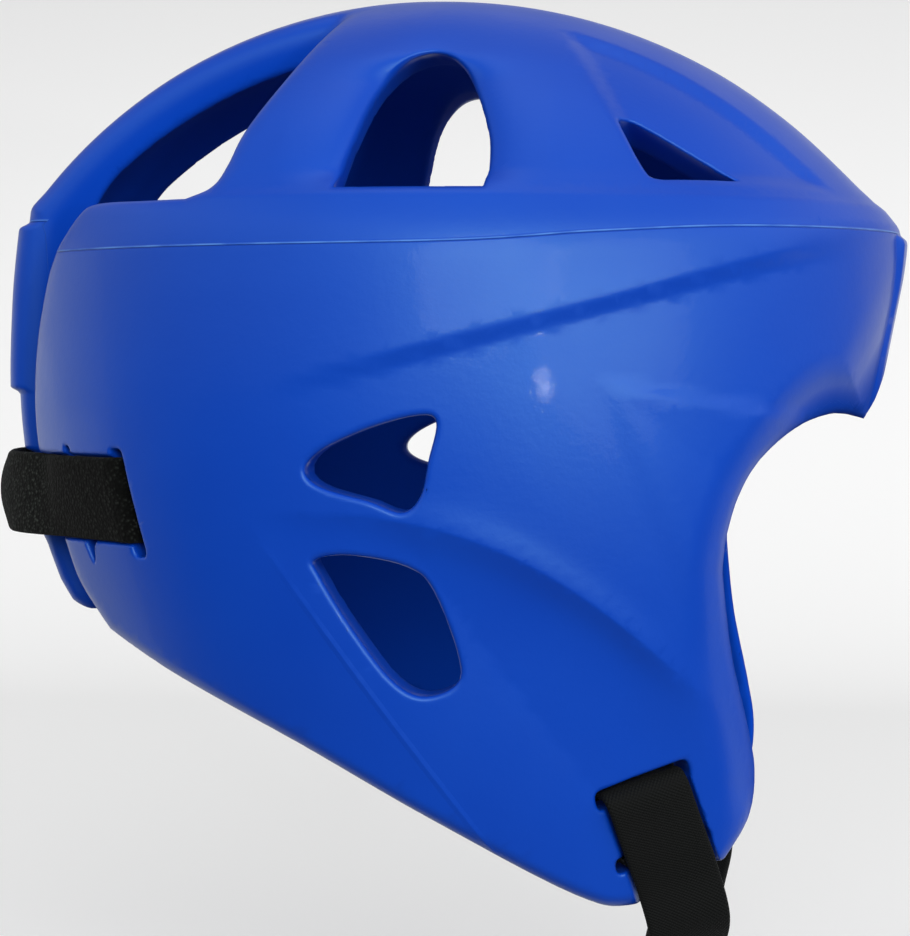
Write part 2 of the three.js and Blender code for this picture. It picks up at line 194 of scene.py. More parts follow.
# Behind the tongue. Columns: x, half width.
REAR_RUN = [(-112, 38.5), (-118.8, 29.5), (-124, 18.5), (-126.8, 7)]
CHIN_STRAP_WIDTH = 0.022
CHIN_SLOT = [(43, -191.7), (68.2, -183.1), (69.8, -188.3), (44.6, -196.7)]
CHIN_SECOND_SLOT = [(47.8, -209.6), (74, -202), (75, -206), (48.8, -213.6)]
CHIN_CHANNEL = [(46, -193.3), (66.5, -186.9), (80.8, -231.4), (59.2, -237.6)]
CHANNEL_DEPTH = 0.0026
CHANNEL_STEP = (-0.0008, 0.0008)
CHIN_SLOT_MIDDLE = (0.0565, -0.190)
CHIN_LEAN = math.radians(17.5)
CHIN_BAR = 0.0184
CHIN_ON_CHEEK = (0.003, CHIN_BAR / 2, CHIN_BAR, 0.027)
CHEEK_TURN = math.radians(18)
CHEEK_HALF = 0.07
# Under the chin. Columns: x, half width, z.
CHIN_RUN = [(67.2, 58, -228.5), (64.8, 46.5, -240.5), (62.4, 29.5, -250), (61, 10, -254.4)]
# A leaning slot shifts forward for each metre out from its level. Columns: outline, lean, level.
SLOTS = [
    (REAR_SLOT, -0.69, 0.0755),
    (REAR_SECOND_SLOT, -1.0, 0.062),
    (CHIN_SLOT, 0.38, 0.072),
    (CHIN_SECOND_SLOT, 0.4, 0.0656),
]

# Rounding of the foam's edges
PARTING_RADIUS = 0.0009
HOLLOW_RADIUS = 0.012
HOLLOW_EDGE_RADIUS = 0.0025
RIM_RADIUS = 0.004
FLAP_EDGE_RADIUS = 0.0022
VENT_EDGE_RADIUS = 0.0014
FLAP_END_RADIUS = 0.004
TONGUE_EDGE_RADIUS = 0.004
EAR_HOLE_RADIUS = 0.0014
SLOT_RADIUS = 0.001
SLOT_CORNER = 0.0022
RIB_FILLET = 0.004
# Where the outline's rounding changes at the flap, the face opening and the rear vent
FLAP_EDGE_X = (-0.092, -0.080)
FLAP_EDGE_Z = (-0.155, -0.135)
FACE_EDGE_X = (0.055, 0.075)
VENT_EDGE_X = (-0.020, 0.0)
VENT_EDGE_Z = (-0.056, -0.048)

# Fineness of the meshes and of the side view's shapes
STRAP_STEP = 0.0012
SHAPE_STEP = 0.0006
HOLE_STEP = 0.0004
GRID_STEP = 0.0026
GRID_LOW = (-0.134, -0.1055, -0.2245)
GRID_HIGH = (0.134, 0.1055, 0.0205)
NORMAL_REACH = 0.0005
# Share of the way to the skin that a point moves in each round, and the least slope that is trusted
SETTLE_SHARE = 0.9
LEAST_SLOPE = 0.2
# How many of the most bent faces are split in each round, and how much a bend of the inner skin counts
SPLIT_FACES = (6000, 7000)
INNER_WEIGHT = 0.3

# Photograph's camera
CAMERA_AIM = Vector((0.0, 0.0, -0.113))
CAMERA_DISTANCE = 0.720
CAMERA_YAW = math.radians(6.5)
CAMERA_PITCH = math.radians(2.3)
FOCAL_PIXELS = 2571.0
IMAGE_LONG_SIDE = 936
SENSOR = 36.0

# Studio
FLOOR_Z = -0.30
FLOOR_FRONT = -3.0
FLOOR_JOIN = -0.05
BACKDROP = {"depth": 1.5, "rise": 0.8, "turn": 0.6}
PAPER_WIDTH = 6.0
PAPER_WHITE = (0.95, 0.95, 0.95)


def metres(rows):
    return np.array(rows, float) * MM


def smoothstep(value, low, high):
    share = np.clip((value - low) / (high - low), 0, 1)
    return share * share * (3 - 2 * share)


def round_max(a, b, radius):
    """Intersection of two signed distances with a rounded edge."""
    over_a = np.maximum(a + radius, 0)
    over_b = np.maximum(b + radius, 0)
    return np.minimum(-radius, np.maximum(a, b)) + np.sqrt(over_a * over_a + over_b * over_b)


def round_min(a, b, radius):
    return -round_max(-a, -b, radius)


def smooth_table(rows, count=500):
    """Columns of a table as smooth curves of its first column, sampled finely."""
    table = metres(rows)
    at, values = table[:, 0], table[:, 1:]
    slope = np.zeros_like(values)
    slope[1:-1] = (values[2:] - values[:-2]) / (at[2:] - at[:-2])[:, None]
    slope[0] = 1.5 * (values[1] - values[0]) / (at[1] - at[0]) - 0.5 * slope[1]
    slope[-1] = 1.5 * (values[-1] - values[-2]) / (at[-1] - at[-2]) - 0.5 * slope[-2]
    fine = np.linspace(at[0], at[-1], count)
    row = np.clip(np.searchsorted(at, fine) - 1, 0, len(at) - 2)
    span = (at[row + 1] - at[row])[:, None]
    t = (fine - at[row])[:, None] / span
    curve = (
        values[row] * (1 + 2 * t) * (1 - t) ** 2
        + slope[row] * span * t * (1 - t) ** 2
        + values[row + 1] * t**2 * (3 - 2 * t)
        + slope[row + 1] * span * t**2 * (t - 1)
    )
    return fine, curve, np.gradient(curve, fine, axis=0)


WALL_Z, WALL_REACH, WALL_SLOPE = smooth_table(WALL)


def wall_section(z):
    """Reach ahead, reach behind and half width of the wall at a height, and their slopes."""
    reach = [np.interp(z, WALL_Z, WALL_REACH[:, k]) for k in range(3)]
    slope = [np.interp(z, WALL_Z, WALL_SLOPE[:, k]) for k in range(3)]
    return reach, slope


def wall_distance(x, y, z, inset):
    """Signed distance to the wall's form, sunk by an inset."""
    (front, rear, side), (front_slope, rear_slope, side_slope) = wall_section(z)
    ahead = x > APEX_X
    along = np.where(ahead, front, rear) - inset
    along_slope = np.where(ahead, front_slope, rear_slope)
    side = side - inset
    u, v = (x - APEX_X) / along, y / side
    share = np.sqrt(u * u + v * v) + TINY
    gx, gy = u / along, v / side
    gz = -(u * u / along * along_slope + v * v / side * side_slope)
    return (share - 1) * share / np.sqrt(gx * gx + gy * gy + gz * gz + TINY)


def on_wall(x, z, depth):
    """Point on the wearer's left wall, sunk along the wall's plan normal."""
    (front, rear, side), _ = wall_section(z)
    along = front if x > APEX_X else rear
    share = (x - APEX_X) / along
    y = side * math.sqrt(1 - share * share)
    normal = np.array([share / along, y / side**2])
    normal /= np.linalg.norm(normal)
    return np.array([x - normal[0] * depth, y - normal[1] * depth, z])


def crown_distance(x, y, z, inset):
    """Signed distance to the crown's form, sunk by an inset."""
    drop = np.minimum(FOAM - inset - z, CROWN_END[1])
    ahead = x > APEX_X
    along = 2 * (np.where(ahead, CROWN_ARC["front"], CROWN_ARC["rear"]) - inset) - drop
    across = 2 * (CROWN_ARC["side"] - inset) - drop
    u, v = (x - APEX_X) / along, y / across
    value = u * u * along + v * v * across - drop
    slope = np.sqrt(4 * u * u + 4 * v * v + (1 - u * u - v * v) ** 2)
    return value / slope - CROWN_OPENING * smoothstep(-z, *CROWN_END)


def spline(points, steps):
    """Smooth open curve through points."""
    ends = np.vstack([points[:1], points, points[-1:]])
    out = []
    for i in range(len(points) - 1):
        a, b, c, d = ends[i : i + 4]
        for t in np.linspace(0, 1, steps, endpoint=False):
            out.append(catmull(a, b, c, d, t))
    return np.array(out + [points[-1]])


def catmull(a, b, c, d, t):
    return 0.5 * (2 * b + (c - a) * t + (2 * a - 5 * b + 4 * c - d) * t**2 + (3 * b - a - 3 * c + d) * t**3)


def ring(points, steps=6):
    """Smooth closed curve through points."""
    count = len(points)
    out = []
    for i in range(count):
        a, b, c, d = (points[(i + k) % count] for k in (-1, 0, 1, 2))
        for t in np.linspace(0, 1, steps, endpoint=False):
            out.append(catmull(a, b, c, d, t))
    return np.array(out)


def rounded(points, radius, steps=5):
    """Closed outline with its corners rounded off."""
    out = []
    for before, here, after in zip(np.roll(points, 1, axis=0), points, np.roll(points, -1, axis=0)):
        back, ahead = before - here, after - here
        back_length, ahead_length = np.linalg.norm(back), np.linalg.norm(ahead)
        half_turn = math.acos(back.dot(ahead) / back_length / ahead_length) / 2
        cut = min(radius / math.tan(half_turn), 0.45 * back_length, 0.45 * ahead_length)
        start, end = here + back * cut / back_length, here + ahead * cut / ahead_length
        for t in np.linspace(0, 1, steps):
            out.append(start * (1 - t) ** 2 + 2 * here * t * (1 - t) + end * t**2)
    return np.array(out)


class SideShape:
    """Signed distance to a closed outline in the side view, read from a fine grid of it."""

    def __init__(self, points, step=SHAPE_STEP, margin=0.014):
        self.step = step
        self.low = points.min(axis=0) - margin
        count = np.ceil((points.max(axis=0) + margin - self.low) / step).astype(int) + 1
        x = (self.low[0] + step * np.arange(count[0]))[:, None]
        z = (self.low[1] + step * np.arange(count[1]))[None, :]
        nearest = np.full(count, np.inf)
        inside = np.zeros(count, bool)
        for (ax, az), (bx, bz) in zip(points, np.roll(points, -1, axis=0)):
            dx, dz = bx - ax, bz - az
            t = np.clip(((x - ax) * dx + (z - az) * dz) / max(dx * dx + dz * dz, TINY * TINY), 0, 1)
            nearest = np.minimum(nearest, (x - ax - t * dx) ** 2 + (z - az - t * dz) ** 2)
            if az != bz:
                inside ^= ((az > z) != (bz > z)) & (x < ax + (z - az) / (bz - az) * dx)
        self.grid = np.where(inside, -1, 1) * np.sqrt(nearest)

    def __call__(self, x, z):
        u = np.clip((x - self.low[0]) / self.step, 0, self.grid.shape[0] - 1.001)
        v = np.clip((z - self.low[1]) / self.step, 0, self.grid.shape[1] - 1.001)
        u, v = np.broadcast_arrays(u, v)
        i, j = u.astype(int), v.astype(int)
        s, t = u - i, v - j
        g = self.grid
        lower = g[i, j] * (1 - s) + g[i + 1, j] * s
        upper = g[i, j + 1] * (1 - s) + g[i + 1, j + 1] * s
        return lower * (1 - t) + upper * t


def main_outline():
    runs = [spline(metres(run), 6) for run in OUTLINE.values()]
    return np.vstack(runs + [metres(BROW)])


MAIN_SHAPE = SideShape(main_outline())
TONGUE_SHAPE = SideShape(metres(TONGUE_OUTLINE))
EAR_SHAPES = [SideShape(ring(metres(hole)), step=HOLE_STEP) for hole in (UPPER_EAR_HOLE, LOWER_EAR_HOLE)]
SLOT_SHAPES = [
    (SideShape(rounded(metres(slot), SLOT_CORNER), step=HOLE_STEP), lean, level)
    for slot, lean, level in SLOTS
]
CHANNEL_SHAPES = [SideShape(metres(channel)) for channel in (REAR_CHANNEL, CHIN_CHANNEL)]
MIDDLE_VENT_SHAPE, FRONT_VENT_SHAPE = (
    SideShape(spline(metres(vent), 6), step=HOLE_STEP) for vent in (MIDDLE_VENT, FRONT_VENT)
)


def height_on(line, x):
    """Height of a smooth line at x."""
    points = spline(metres(line), 8)
    return np.interp(x, points[:, 0], points[:, 1])


def ahead_of(line, x, z):
    """Signed distance ahead of a straight line that runs forward and down."""
    (ax, az), (bx, bz) = metres(line)
    return ((z - az) * (bx - ax) - (x - ax) * (bz - az)) / math.hypot(bx - ax, bz - az)


def raised_panel(panel, side, z):
    """Height of a raised panel with steep borders."""
    over_bottom = smoothstep(z - panel["bottom"], *RAISED_STEP)
    under_top = 1 - smoothstep(z - panel["top"], *RAISED_TOP_STEP)
    return panel["rise"] * over_bottom * under_top * (1 - smoothstep(side - panel["half"], *RAISED_STEP))


def crease_relief(x, z):
    """Panel over the long crease, which fades upwards and at both ends."""
    over = z - height_on(PANEL_CREASE, x)
    ends = smoothstep(x, *PANEL_REAR) * (1 - smoothstep(x, *PANEL_FRONT))
    return PANEL_RISE * smoothstep(over, *PANEL_STEP) * np.exp(-np.maximum(over, 0) / PANEL_FADE) * ends


def cheek_relief(x, z):
    """Crest along the cheek ridge and the scoop under it."""
    below = height_on(CHEEK_RIDGE, x) - z
    under = np.maximum(below, 0)
    rear = np.clip(ahead_of(SCOOP_REAR_LINE, x, z) / SCOOP_SPREAD, 0, 1)
    front = 1 - smoothstep(x, *SCOOP_FRONT)
    scoop = (1 - np.exp(-under / SCOOP_SLOPE_LENGTH)) * np.exp(-((under / SCOOP_REACH) ** 2))
    crest = np.exp(-((below / CREST_WIDTH) ** 2)) * smoothstep(x, *CREST_REAR)
    return (CREST_RISE * crest - SCOOP_DEPTH * scoop * rear) * front


def facet_relief(x, z):
    """Facet of the cheek, which fades inwards from its upper and its rear side."""
    corner, top_end, rear_end = CHEEK_FACET
    from_top, from_rear = -ahead_of([corner, top_end], x, z), ahead_of([corner, rear_end], x, z)
    facet = smoothstep(from_top, *FACET_TOP) * smoothstep(from_rear, *FACET_REAR)
    inward = np.maximum(np.minimum(from_top, from_rear), 0)
    return FACET_RISE * facet * np.exp(-inward / FACET_FADE)


def relief(x, side, z):
    """How far the wall's outer skin stands out from the plain form."""
    brow = np.where(x > BROW_PANEL["x"], raised_panel(BROW_PANEL, side, z), 0)
    tongue = np.where(x < TONGUE_PANEL["x"], raised_panel(TONGUE_PANEL, side, z), 0)
    return crease_relief(x, z) + cheek_relief(x, z) + facet_relief(x, z) + brow + tongue


def on_tongue(x, side):
    """Whether a place lies on the rear tongue and not on the main shell."""
    return (x < FLAP_FRONT) & (side < FLAP_INNER_HALF)


def parting_height(x, side):
    return np.where(on_tongue(x, side), TONGUE_PARTING, height_on(PARTING_LINE, x))


def parting_shift(count=120):
    """How far the crown stands out from the wall along the parting line, as a table over x."""
    at = np.linspace(*PARTING_ENDS, count)
    edge = np.array([on_wall(x, float(height_on(PARTING_LINE, x)), 0) for x in at])
    return at, crown_distance(*edge.T, 0)


PARTING_SHIFT = parting_shift()


def crown_recess(x, side, z):
    """Depth of the crown under its plain form: front field, dip round the middle vent, and band."""
    left = smoothstep(ahead_of(RECESS_LINE, x, z), *RECESS_STEP)
    top = smoothstep(side - RIB_HALF, *RIB_STEP)
    foot = smoothstep(z - RECESS_FOOT, *RECESS_STEP)
    depth = RECESS_DEPTH * left * top * foot
    near = np.maximum(MIDDLE_VENT_SHAPE(x, z), 0)
    over_foot = smoothstep(z - BAND_TOP, *VENT_DIP_FOOT)
    under_top = 1 - (1 - VENT_DIP_TOP_SHARE) * smoothstep(z, *VENT_DIP_TOP)
    depth = depth + VENT_DIP * np.exp(-near / VENT_DIP_REACH) * over_foot * under_top
    blend = 1 - smoothstep(z - height_on(PARTING_LINE, x), *BAND_BLEND)
    shell_only = np.where(on_tongue(x, side), 0, 1)
    depth = depth - np.interp(x, *PARTING_SHIFT) * blend * shell_only
    return depth - BAND_RISE * (1 - smoothstep(z - BAND_TOP, *BAND_STEP)) * shell_only


def edge_radius(x, z):
    """Rounding of the main outline: large at the lower rim, small at flap, face and rear vent."""
    at_flap = (1 - smoothstep(x, *FLAP_EDGE_X)) * smoothstep(z, *FLAP_EDGE_Z)
    at_face = smoothstep(x, *FACE_EDGE_X)
    at_vent = (1 - smoothstep(x, *VENT_EDGE_X)) * smoothstep(z, *VENT_EDGE_Z)
    radius = RIM_RADIUS + (FLAP_EDGE_RADIUS - RIM_RADIUS) * np.maximum(at_flap, at_face)
    return radius + (VENT_EDGE_RADIUS - radius) * at_vent


def face_chamfer(outer, edge, x, z):
    """Signed distance to the chamfer that runs round the face opening, wide under the brow."""
    width = CHAMFER["corner"] + (CHAMFER["brow"] - CHAMFER["corner"]) * smoothstep(x, *CHAMFER_BROW_X)
    width = width + (CHAMFER["cheek"] - CHAMFER["corner"]) * smoothstep(-z, *CHAMFER_CHEEK_DEPTH)
    width = width * (1 - CHAMFER_CHIN_LOSS * smoothstep(-z, *CHAMFER_CHIN_DEPTH))
    width = width * smoothstep(x, *CHAMFER_REAR_X) + CHAMFER_LEAST
    depth = CHAMFER["depth_share"] * width
    return (outer / depth + edge / width + 1) / np.sqrt(1 / depth**2 + 1 / width**2)


def strap_channels(x, z):
    """Depth of the shallow channels in which the straps lie."""
    depth = 0
    for shape in CHANNEL_SHAPES:
        depth = depth + CHANNEL_DEPTH * (1 - smoothstep(shape(x, z), *CHANNEL_STEP))
    return depth


def hollow_distance(x, y, z, inset):
    return round_max(crown_distance(x, y, z, inset), wall_distance(x, y, z, inset), HOLLOW_RADIUS)


def shell_distance(x, y, z):
    """Signed distance to the foam: the main shell with its openings, joined to the rear tongue."""
    side = np.abs(y)
    wall = wall_distance(x, y, z, 0) - relief(x, side, z) + strap_channels(x, z)
    crown = crown_distance(x, y, z, 0) + crown_recess(x, side, z)
    outer = round_max(crown, wall, PARTING_RADIUS)
    edge = MAIN_SHAPE(x, z)
    main = round_max(outer, edge, edge_radius(x, z))
    main = round_max(main, face_chamfer(outer, edge, x, z), CHAMFER["radius"])
    rear_gap = np.maximum(x - FLAP_FRONT, side - FLAP_INNER_HALF)
    main = round_max(main, -rear_gap, FLAP_END_RADIUS)
    main = round_max(main, -MIDDLE_VENT_SHAPE(x, z), VENT_EDGE_RADIUS)
    shift = FRONT_VENT_LEAN * (side - FRONT_VENT_LEVEL)
    main = round_max(main, -FRONT_VENT_SHAPE(x, z - shift), FRONT_VENT_RADIUS)
    for shape in EAR_SHAPES:
        main = round_max(main, -shape(x, z), EAR_HOLE_RADIUS)
    for shape, lean, level in SLOT_SHAPES:
        main = round_max(main, -shape(x - lean * (side - level), z), SLOT_RADIUS)
    main = round_max(main, -hollow_distance(x, y, z, FOAM), HOLLOW_EDGE_RADIUS)
    tongue = round_max(outer, side - TONGUE_HALF, TONGUE_EDGE_RADIUS)
    tongue = round_max(tongue, TONGUE_SHAPE(x, z), TONGUE_EDGE_RADIUS)
    tongue = round_max(tongue, -hollow_distance(x, y, z, RIB_FOAM), HOLLOW_EDGE_RADIUS)
    return round_min(main, tongue, RIB_FILLET)


def over_parting(x, y, z):
    """Signed height over the parting line, far off it on the inner skin."""
    over = z - parting_height(x, np.abs(y))
    return np.where(skin_depth(x, y, z) < RIB_FOAM / 2, over, FOAM)


def off_mould_line(x, y, z):
    """Signed distance from the fine line along the rear of the scoop."""
    return ahead_of(SCOOP_REAR_LINE, x, z)


def skin_depth(x, y, z):
    """Depth under the plain outer form."""
    return -np.maximum(crown_distance(x, y, z, 0), wall_distance(x, y, z, 0))


CORNERS = np.array([(i, j, k) for i in (0, 1) for j in (0, 1) for k in (0, 1)])
CELL_EDGES = [
    (a, b) for a in range(8) for b in range(a + 1, 8) if np.abs(CORNERS[a] - CORNERS[b]).sum() == 1
]


def surface_net(values, low, step):
    """Quads of the zero surface of a grid of signed distances, with points drawn to its edges."""
    cells = tuple(n - 1 for n in values.shape)
    inside = values < 0
    count = np.zeros(cells, np.int8)
    for i, j, k in CORNERS:
        count += inside[i : i + cells[0], j : j + cells[1], k : k + cells[2]]
    active = np.argwhere((count > 0) & (count < 8))
    points = edge_points(values, active, np.array(low), step)
    index = np.full(cells, -1, np.int64)
    index[tuple(active.T)] = np.arange(len(active))
    quads = []
    for axis in range(3):
        one, two = (axis + 1) % 3, (axis + 2) % 3
        near = [slice(None)] * 3
        far = [slice(None)] * 3
        near[axis], far[axis] = slice(None, -1), slice(1, None)
        changed = np.argwhere(inside[tuple(near)] != inside[tuple(far)])
        keep = (changed[:, one] > 0) & (changed[:, two] > 0)
        keep &= (changed[:, one] < cells[one]) & (changed[:, two] < cells[two])
        changed = changed[keep]
        square = []
        for back_one, back_two in ((1, 1), (0, 1), (0, 0), (1, 0)):
            cell = changed.copy()
            cell[:, one] -= back_one
            cell[:, two] -= back_two
            square.append(index[tuple(cell.T)])
        square = np.stack(square, axis=1)
        outward = inside[tuple(changed.T)]
        quads.append(np.where(outward[:, None], square, square[:, ::-1]))
    return points, np.vstack(quads)


def edge_points(values, active, low, step, hold=0.08):
    """One point for each crossed cell, drawn to the planes in which the surface crosses its edges."""
    at = [values[tuple((active + corner).T)] for corner in CORNERS]
    crossings = []
    total = np.zeros((len(active), 3))
    number = np.zeros((len(active), 1))
    for a, b in CELL_EDGES:
        crossed = (at[a] < 0) != (at[b] < 0)
        share = (at[a][crossed] / (at[a] - at[b])[crossed])[:, None]
        point = low + step * (active[crossed] + CORNERS[a] + share * (CORNERS[b] - CORNERS[a]))
        crossings.append((crossed, point))
        total[crossed] += point
        number[crossed] += 1
    middle = total / number
    planes = np.zeros((len(active), 3, 3)) + hold * np.eye(3)
    pull = np.zeros((len(active), 3))
    for crossed, point in crossings:
        normal = unit(gradient(point))
        reach = ((point - middle[crossed]) * normal).sum(axis=1, keepdims=True)
        planes[crossed] += normal[:, :, None] * normal[:, None, :]
        pull[crossed] += normal * reach
    move = np.linalg.solve(planes, pull[:, :, None])[:, :, 0]
    return middle + np.clip(move, -step, step)


def unit(vectors):
    return vectors / np.maximum(np.linalg.norm(vectors, axis=1, keepdims=True), TINY)


def gradient(points, reach=0.0004):
    slopes = []
    for axis in range(3):
        shift = np.zeros(3)
        shift[axis] = reach
        ahead, behind = points + shift, points - shift
        slopes.append(shell_distance(*ahead.T) - shell_distance(*behind.T))
    return np.stack(slopes, axis=1) / (2 * reach)


def settle(points):
    """Points moved onto the skin."""
    for _ in range(2):
        slope = gradient(points)
        move = shell_distance(*points.T) / np.maximum((slope**2).sum(axis=1), LEAST_SLOPE)
        points = points - np.clip(move, -GRID_STEP / 2, GRID_STEP / 2)[:, None] * slope * SETTLE_SHARE
    return points


def points_of(mesh):
    points = np.empty(len(mesh.vertices) * 3, np.float32)
    mesh.vertices.foreach_get("co", points)
    return points.reshape(-1, 3).astype(float)


def split_bent_faces(mesh, count):
    """Splits the faces over which the skin turns most and sets the new points on the skin."""
    points = points_of(mesh)
    normals = unit(gradient(points, NORMAL_REACH))
    weight = np.where(skin_depth(*points.T) < FOAM / 3, 1, INNER_WEIGHT)
    body = bmesh.new()
    body.from_mesh(mesh)
    ends = np.array([[vertex.index for vertex in edge.verts] for edge in body.edges])
    turn = np.linalg.norm(normals[ends[:, 0]] - normals[ends[:, 1]], axis=1) * weight[ends].min(axis=1)
    bent = sorted(body.faces, key=lambda face: -max(turn[edge.index] for edge in face.edges))[:count]
    edges = {edge for face in bent for edge in face.edges}
    bmesh.ops.subdivide_edges(body, edges=list(edges), cuts=1, use_grid_fill=True)
    body.to_mesh(mesh)
    body.free()
    mesh.vertices.foreach_set("co", settle(points_of(mesh)).astype(np.float32).ravel())


def make_shell():
    axes = [np.arange(low, high, GRID_STEP) for low, high in zip(GRID_LOW, GRID_HIGH)]
    x, y, z = np.meshgrid(*axes, indexing="ij", sparse=True)
    points, quads = surface_net(shell_distance(x, y, z), GRID_LOW, GRID_STEP)
    mesh = bpy.data.meshes.new("shell_foam")
    mesh.from_pydata(settle(points).tolist(), [], quads.tolist())
    for count in SPLIT_FACES:
        split_bent_faces(mesh, count)
    points = points_of(mesh)
    for name, measure in (("seam", over_parting), ("mould_line", off_mould_line), ("depth", skin_depth)):
        attribute = mesh.attributes.new(name, "FLOAT", "POINT")
        attribute.data.foreach_set("value", measure(*points.T).astype(np.float32))
    for polygon in mesh.polygons:
        polygon.use_smooth = True
    mesh.normals_split_custom_set_from_vertices(unit(gradient(points, NORMAL_REACH)).tolist())
    return new_object("shell_foam", mesh)


def new_object(name, mesh):
    piece = bpy.data.objects.new(name, mesh)
    bpy.context.scene.collection.objects.link(piece)
    return piece


def on_cheek(distance, depth):
    """Point on the wearer's left cheek, at a distance down the chin strap from its slot."""
    x = CHIN_SLOT_MIDDLE[0] + distance * math.sin(CHIN_LEAN)
    z = CHIN_SLOT_MIDDLE[1] - distance * math.cos(CHIN_LEAN)
    return on_wall(x, z, depth)


def round_the_bar(second, first, outside):
    """Stops of a strap from its end in the second slot, out of the first and back over itself."""
    turn = math.copysign(STRAP_TURN, first - second)
    stops = [(second, depth) for depth in STRAP_THROUGH]
    stops += [(second + turn, STRAP_INSIDE), (first - turn, STRAP_INSIDE)]
    stops += [(first, depth) for depth in reversed(STRAP_THROUGH)]
    return stops + [(at, STRAP_SINK) for at in outside]


def rear_strap_path():
    """Half of the rear strap: round the bar of a flap and out behind the tongue."""
    stops = round_the_bar(REAR_SECOND_X, REAR_SLOT_X, REAR_ON_FLAP)
    half = [on_wall(x, REAR_STRAP_Z, depth) for x, depth in stops]
    return half + [np.array([x * MM, y * MM, REAR_STRAP_Z]) for x, y in REAR_RUN]


def chin_strap_path():
    """Half of the chin strap: round the bar of a cheek and down under the chin."""
    stops = round_the_bar(CHIN_BAR, 0.0, CHIN_ON_CHEEK)
    half = [on_cheek(distance, depth) for distance, depth in stops]
    return half + [metres(row) for row in CHIN_RUN]


def across_rear(point):
    slant = REAR_SLANT * smoothstep(abs(point[1]), *REAR_SLANT_Y)
    return np.array([-math.sin(slant), 0.0, math.cos(slant)])


def across_chin(point):
    turn = -CHEEK_TURN * min(max(point[1] / CHEEK_HALF, -1), 1)
    return np.array([math.cos(turn), math.sin(turn), math.tan(CHIN_LEAN)])


def rear_cup(point):
    """How far the strap's edges bend forward behind the tongue."""
    return REAR_CUP * (1 - smoothstep(abs(point[1]), *REAR_CUP_Y))


def no_cup(point):
    return 0.0


def evenly(points, step):
    """The same path with points an even step apart, and its length."""
    length = np.concatenate([[0], np.cumsum(np.linalg.norm(np.diff(points, axis=0), axis=1))])
    at = np.linspace(0, length[-1], int(length[-1] / step) + 1)
    return np.stack([np.interp(at, length, points[:, k]) for k in range(3)], axis=1), length[-1]


def strap_section(width):
    """Outline of a strap's section: two round edges and the faces between them."""
    section = []
    radius = STRAP / 2 * STRAP_EDGE_SHARE
    for centre, start in ((width / 2 - radius, -90), (-(width / 2 - radius), 90)):
        for step in range(7):
            angle = math.radians(start + 30 * step)
            section.append((centre + radius * math.cos(angle), STRAP / 2 * math.sin(angle)))
        span = np.linspace(centre, -centre, 12)[1:-1]
        section += [(u, STRAP / 2 if centre > 0 else -STRAP / 2) for u in span]
    return section


def make_strap(name, half, across_at, cup_at, width):
    """Strap swept along half a path and its mirror image, and its length."""
    mirrored = [point * np.array([1, -1, 1]) for point in reversed(half)]
    path, length = evenly(spline(np.array(half + mirrored), 12), STRAP_STEP)
    section = strap_section(width)
    vertices, faces, coordinates = [], [], []
    along = np.linspace(0, length, len(path))
    tangents = np.gradient(path, axis=0)
    for point, tangent, distance in zip(path, tangents, along):
        tangent = tangent / np.linalg.norm(tangent)
        across = across_at(point)
        across = across - tangent * across.dot(tangent)
        across /= np.linalg.norm(across)
        out = np.cross(tangent, across)
        cup = cup_at(point)
        for u, v in section:
            vertices.append(point + across * u + out * (v - cup * (2 * u / width) ** 2))
            coordinates.append((u, distance))
    count = len(section)
    for i in range(len(path) - 1):
        for j in range(count):
            k = (j + 1) % count
            faces.append((i * count + j, i * count + k, (i + 1) * count + k, (i + 1) * count + j))
    faces.append(tuple(reversed(range(count))))
    faces.append(tuple(range((len(path) - 1) * count, len(path) * count)))
    mesh = bpy.data.meshes.new(name)
    mesh.from_pydata([tuple(v) for v in vertices], [], faces)
    layer = mesh.uv_layers.new(name="cloth")
    for loop in mesh.loops:
        layer.data[loop.index].uv = coordinates[loop.vertex_index]
    for polygon in mesh.polygons:
        polygon.use_smooth = len(polygon.vertices) == 4
    return new_object(name, mesh), length


